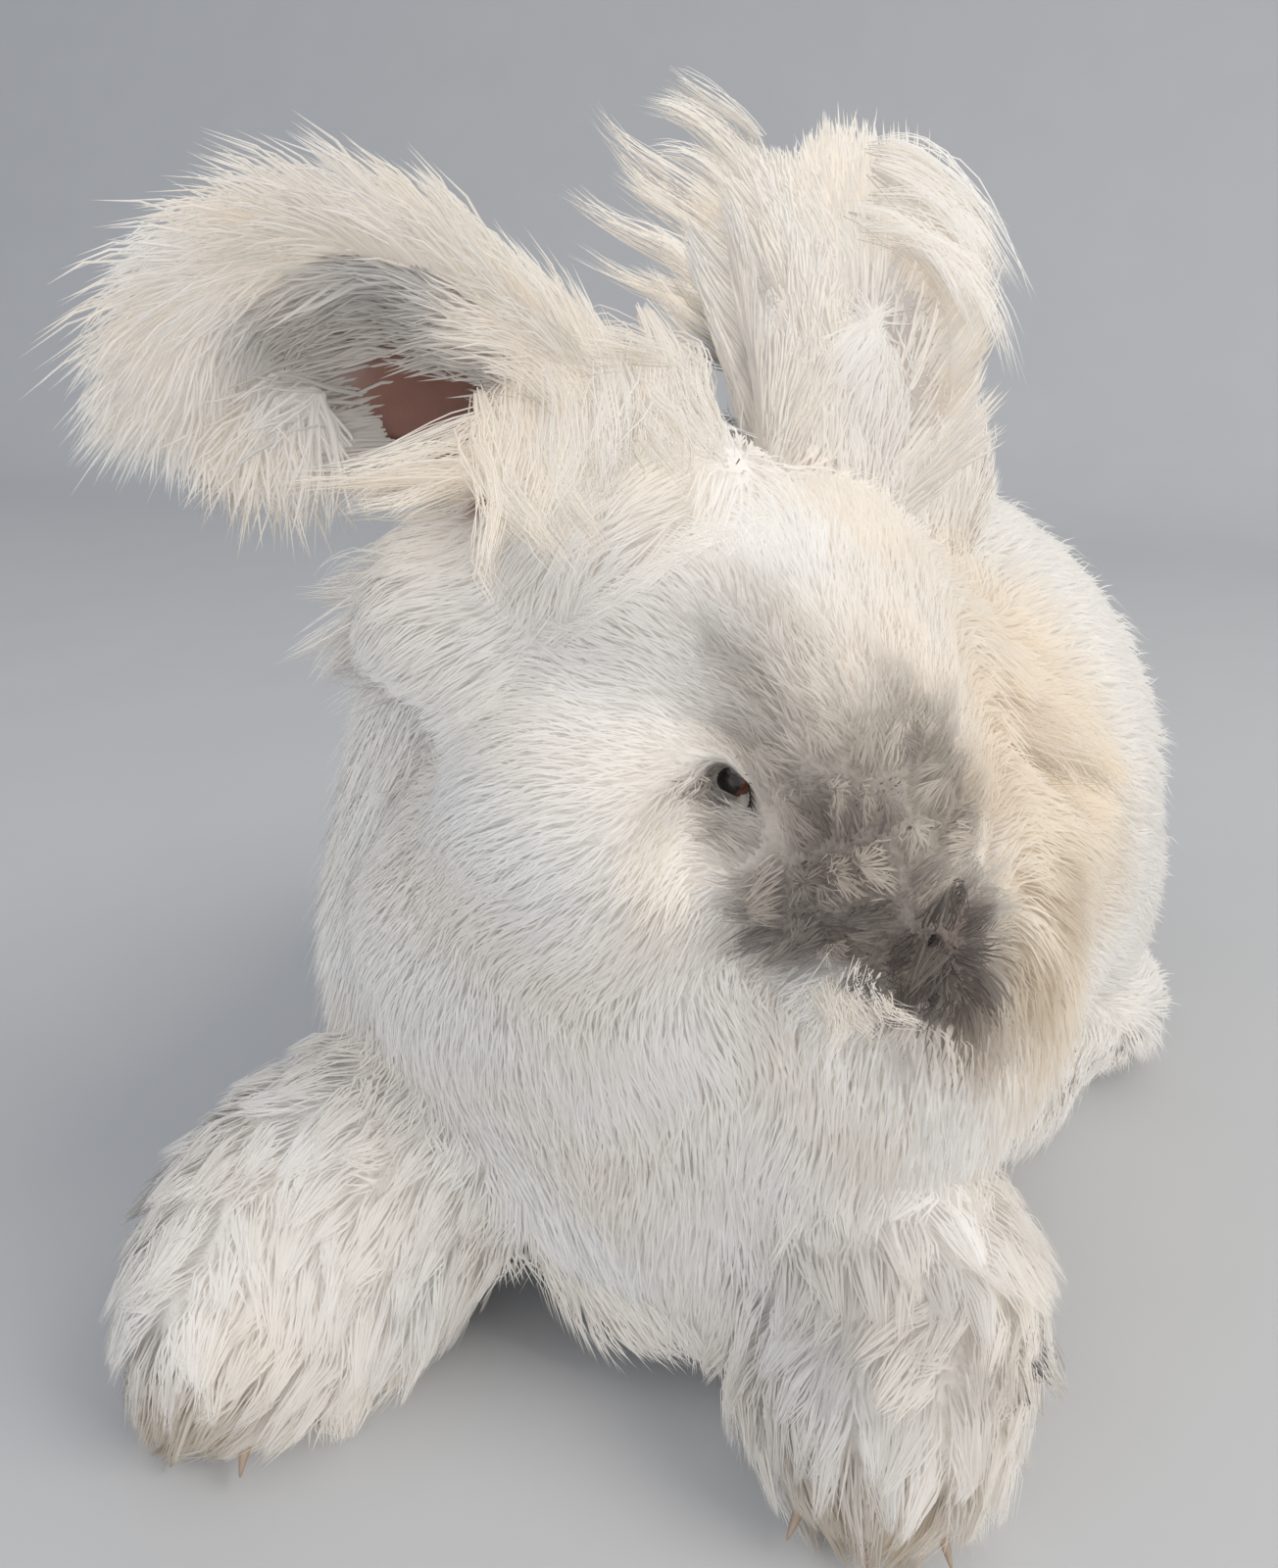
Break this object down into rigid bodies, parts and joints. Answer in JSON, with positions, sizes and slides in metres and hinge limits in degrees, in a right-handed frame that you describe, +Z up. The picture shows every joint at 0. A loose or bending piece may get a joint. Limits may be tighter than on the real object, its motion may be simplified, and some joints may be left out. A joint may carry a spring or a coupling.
{
  "type": "angora rabbit",
  "caption": "Life-size angora rabbit at rest on all fours, head turned to its left, one ear upright and one held out, long wool in overlapping locks.",
  "frame": {"origin": "On the floor, at the middle of the bounding box's underside.", "axes": "+Z is up, the body faces -Y and the animal's left side is +X. The longest extent runs along Y."},
  "size_m": [0.2266, 0.3544, 0.2849],
  "materials": {
    "wool_white": "long soft white wool",
    "wool_face": "white wool that turns smoke grey on the muzzle",
    "wool_ear": "cream wool with grey rims over pink-brown skin",
    "wool_foot": "clumped white wool with a beige cast",
    "eye": "dark wet eye"
  },
  "bodies": {
    "root": {"eye_left": "eye", "eye_right": "eye", "head": "wool_face", "ear_left": "wool_ear", "ear_right": "wool_ear", "neck": "wool_white", "foreleg_left": "wool_foot", "foreleg_right": "wool_foot", "hind_leg_left": "wool_white", "hind_leg_right": "wool_white", "tail": "wool_white", "torso": "wool_white"}
  },
  "joints": []
}
